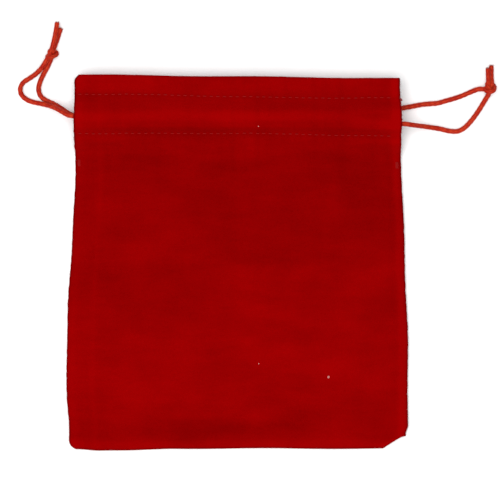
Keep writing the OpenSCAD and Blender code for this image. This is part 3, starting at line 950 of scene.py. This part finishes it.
def stitches(name, centres, ways, lifts, length=STITCH, thick=THREAD, arch=0.42):
    """A mesh of separate stitches, each centred on a point and lying along its way: a
    round of thread at nine places along it, arched so that both ends dive into the cloth,
    and swollen twice a round by the two plies that wind along it."""
    centres, ways, lifts = (np.asarray(a, float) for a in (centres, ways, lifts))
    s = np.linspace(-1, 1, 9)
    angle = np.linspace(0, 2 * np.pi, 10, endpoint=False)
    across = np.cross(ways, lifts)
    ply = 0.5 + 0.5 * np.cos(2 * angle[None] + 5.2 * s[:, None])
    radius = thick / 2 * (0.86 + 0.14 * ply) * np.sqrt(np.clip(1.02 - s**8, 0.02, 1))[:, None]
    rise = (0.06 - arch * s**4)[:, None] + radius * np.sin(angle)[None]
    aside = radius * np.cos(angle)[None]
    points = (centres[:, None, None] + ways[:, None, None] * (s * length / 2)[None, :, None, None]
              + lifts[:, None, None] * rise[None, ..., None]
              + across[:, None, None] * -aside[None, ..., None])
    rows, cols = len(s), len(angle)
    quads = grid_faces(rows, cols, wrap=True)
    ends = np.array([[0, (k + 1) % cols, k] for k in range(1, cols - 1)])
    far = (rows - 1) * cols + ends[:, ::-1]
    shift = np.arange(len(centres))[:, None, None] * rows * cols
    quads = (quads[None] + shift).reshape(-1, 4)
    tris = (np.vstack([ends, far])[None] + shift).reshape(-1, 3)
    # the ply mark also sets the thread finish's painted shade between the plies
    plies = np.broadcast_to(ply, (len(centres), rows, cols)).ravel()
    return new_piece(name, points.reshape(-1, 3), quads, tris, ply=plies)


def front_top(x, y):
    """The height of the front's pile at x, y of the plain outline."""
    left, right = edges(y)
    return front_outer(x, y, np.minimum(x - left, right - x)) + HALF


def unlie(x, y):
    """The place on the plain outline that comes to lie at y."""
    return y - (lie(x, y) - y)


def row_of_stitches(row, reach, surface, sign, seed):
    """Centres, ways and lifts for a row on one face: surface gives its height at x, y."""
    rng = np.random.default_rng(seed)
    x = np.arange(-reach, reach + 0.1, STITCH_PITCH)
    x = x + rng.normal(0, 0.07, len(x))
    y = row_at(row, x) + rng.normal(0, 0.05, len(x))
    z = surface(x, unlie(x, y), 20 + 0 * x)
    slope = row_at(row, x + 0.5) - row_at(row, x - 0.5)
    ways = np.column_stack([1 + 0 * x, slope, 0 * x])
    ways /= np.linalg.norm(ways, axis=1)[:, None]
    lifts = np.tile([0, 0, float(sign)], (len(x), 1))
    return np.column_stack([x, y, z]), ways, lifts


def thread_piece(name, sets, *nodes, **sizes):
    """One piece of thread work from one or more sets of stitches."""
    piece = stitches(name, *(np.vstack(part) for part in zip(*sets)), **sizes)
    finish_piece(piece, thread, "thread", None, *nodes)
    return gathers(piece)


# For each panel, the outer and the inner face: its height, the way it faces, and how far
# its rows of stitches reach from the middle
FACES = {
    "front": ((lambda x, y, s: front_top(x, y), 1, ROW_REACH),
              (lambda x, y, s: front_hem(x, y, s) - HALF, -1, HEM_ROW_REACH)),
    "back": ((lambda x, y, s: np.maximum(back_outer(x, y, s) - 0.3, 0.2), -1, ROW_REACH),
             (lambda x, y, s: back_hem(x, y, s) + HALF, 1, HEM_ROW_REACH)),
}
for layer, faces in FACES.items():
    for row_name, row in (("upper", UPPER_ROW), ("lower", LOWER_ROW)):
        sets = [
            row_of_stitches(row, reach, surface, sign, 60 + n)
            for n, (surface, sign, reach) in enumerate(faces)
        ]
        thread_piece(f"{layer}_{row_name}_row", sets, f"{layer}_{row_name}_stitching")


def seam_set(along, place, way, out):
    """Stitches in the crease between the panels, just inside the bag's edge."""
    x, y = place(along, 0.42 + 0 * along)
    centres = np.column_stack([x, lie(x, y), 0.8 + 0 * x])
    return centres, np.tile(way, (len(x), 1)), np.tile(out, (len(x), 1))


UP_BAG, RIGHT, LEFT, DOWN_BAG = (0, 1.0, 0), (1.0, 0, 0), (-1.0, 0, 0), (0, -1.0, 0)
side_places = np.arange(-68.5, 42, STITCH_PITCH)
bottom_places = np.arange(-62, 57, STITCH_PITCH)
thread_piece("left_seam", [seam_set(side_places, beside_left, UP_BAG, LEFT)], "left_side_stitching")
thread_piece("right_seam", [seam_set(side_places, beside_right, UP_BAG, RIGHT)],
             "right_side_stitching")
thread_piece("bottom_seam", [seam_set(bottom_places, above_bottom, RIGHT, DOWN_BAG)],
             "bottom_stitching")
for side_name, place, way in (("left", beside_left, RIGHT), ("right", beside_right, LEFT)):
    along = np.linspace(38.7, 40.9, 7)
    x, y = place(along, 1.75 + 0 * along)
    z = front_top(x, y)
    tack = (np.column_stack([x, lie(x, y), z]), np.tile(way, (len(x), 1)),
            np.tile((0, 0, 1.0), (len(x), 1)))
    thread_piece(f"{side_name}_bar_tack", [tack], f"{side_name}_slit_tack", length=1.7)


def curl(place, size, thick, seed):
    """A short curled-up fibre or thread end: a thin tube on a flat coil about place."""
    rng = np.random.default_rng(seed)
    t = np.linspace(0, 1, 40)
    angle = rng.uniform(0, 6) + 7.5 * t
    reach = size * (0.35 + 0.65 * t)
    path = place + np.column_stack([reach * np.cos(angle), reach * np.sin(angle),
                                    thick * (0.3 + 1.2 * t)])
    return braid_tube(path, thick, seed=seed, ends=(0.08, 0.08))


loose = joined([
    curl(np.array([EXIT_X + 0.45, y, 9.9]), 0.42, 0.36, 50 + n) for n, y in enumerate((65.2, 57.4))
])
ends = new_piece("loose_thread_ends", *loose[:3], **loose[3])
finish_piece(ends, thread, "thread", None)
gathers(ends)

# ---------------------------------------------------------------- pile and lint at the edges
# The pile stands out past the folded edges as a fuzz of short fibres, and a few specks of
# lint have caught on the front.
FIBRES = 1500
ROUND_THE_EDGE = 560


def edge_fibres(name, mid, from_edge, apex, seed):
    """Tapering three-sided fibres that stand out from the sides, the bottom and the mouth
    fold: each starts at a random place along an edge and points away from the cloth, with
    a random lean."""
    rng = np.random.default_rng(seed)
    rows, cols = apex + 1, mid.shape[1]
    edge_sets = [
        (mid[:rows, 0], mid[:rows, 0] - mid[:rows, 4]),
        (mid[:rows, -1], mid[:rows, -1] - mid[:rows, -5]),
        (mid[0], mid[0] - mid[4]),
        (mid[apex] + [0, 0.3, 0], mid[apex] - mid[apex - 4]),
    ]
    roots, ways = [], []
    for points, away in edge_sets:
        far = travelled(points)
        at = rng.uniform(0, far[-1], int(FIBRES * far[-1] / ROUND_THE_EDGE))
        roots.append(at_places(points, at))
        ways.append(np.column_stack([np.interp(at, far, axis) for axis in away.T]))
    roots, ways = np.vstack(roots), np.vstack(ways)
    ways /= np.linalg.norm(ways, axis=1)[:, None]
    ways += rng.normal(0, 0.38, ways.shape)
    lengths = rng.uniform(0.22, 0.6, len(roots))
    points, quads, tris = tapered_fibres(roots, ways, lengths, 0.09, rng)
    zero = np.zeros(len(points))
    # the fibres take a little painted shade, as at the cloth's edges
    piece = new_piece(name, points, quads, tris, nap=zero, crush=zero + 0.15)
    place = piece.data.attributes.new("flat", "FLOAT_VECTOR", "POINT")
    place.data.foreach_set("vector", (points * MM).astype(np.float32).ravel())
    finish_piece(piece, velvet, "velvet", None)
    return gathers(piece)


for layer, grid in grids.items():
    mid, from_edge, apex = grid
    edge_fibres(f"{layer}_edge_pile", mid, from_edge, apex, 80 + len(layer))


def lint_finish():
    """Pale cotton dust, tinted by the red around it."""
    finish = Finish("lint", Specular_IOR_Level=0.1, Roughness=0.9)
    fluff = finish.noise(finish.place(), 5000, 2.0)
    finish.feed(Base_Color=finish.mix(fluff, (0.62, 0.2, 0.18, 1), (0.78, 0.5, 0.46, 1)))
    return finish.material


# Each speck's place on the front, its size and its thickness
SPECKS = ((36.3, -44.6, 0.42, 0.2), (8.6, -39.6, 0.2, 0.14), (8.4, 54.4, 0.18, 0.14))
points, quads, tris, marks = joined([
    curl(np.array([x, lie(x, y), front_top(np.array(x), np.array(y)) - 0.05]), size, thick, n)
    for n, (x, y, size, thick) in enumerate(SPECKS)
])
specks = new_piece("lint_specks", points, quads, tris, **marks)
finish_piece(specks, lint_finish(), "velvet", None)
gathers(specks)

# ---------------------------------------------------------------- table and light
# A plain pale table under broad soft lights, one above and one low to the side, so that
# the pile shows its nap.
TABLE = 9.0
UNDER = -0.02


def table_finish():
    """Matt off-white, with a trace of unevenness."""
    finish = Finish("pale table", Roughness=0.9, Specular_IOR_Level=0.1)
    cloudy = finish.noise(finish.place(), 30, 2.0)
    finish.feed(Base_Color=finish.mix(cloudy, (0.9, 0.9, 0.9, 1), (0.93, 0.93, 0.93, 1)))
    return finish.material


half = TABLE / 2 / MM
table = new_piece("table", [(-half, -half, UNDER), (half, -half, UNDER),
                            (half, half, UNDER), (-half, half, UNDER)], [(0, 1, 2, 3)])
table.data.materials.append(table_finish())


def softbox(name, place, size, power, aim=(0, 0, 0)):
    """A square soft light at place, turned to face aim."""
    light = bpy.data.lights.new(name, "AREA")
    light.shape = "SQUARE"
    light.size = size
    light.energy = power
    box = bpy.data.objects.new(name, light)
    box.location = place
    way = np.array(aim, float) - np.array(place, float)
    box.rotation_euler = (
        math.atan2(math.hypot(way[0], way[1]), -way[2]), 0, math.atan2(way[0], -way[1]) + math.pi
    )
    scene.collection.objects.link(box)


softbox("overhead softbox", (-0.1, -0.05, 1.25), 1.0, 16)
softbox("side softbox", (-0.4, -0.8, 0.6), 0.6, 2.5)
world = bpy.data.worlds.new("studio")
world.use_nodes = True
world.node_tree.nodes["Background"].inputs[0].default_value = (1, 1, 1, 1)
world.node_tree.nodes["Background"].inputs[1].default_value = 0.45
scene.world = world
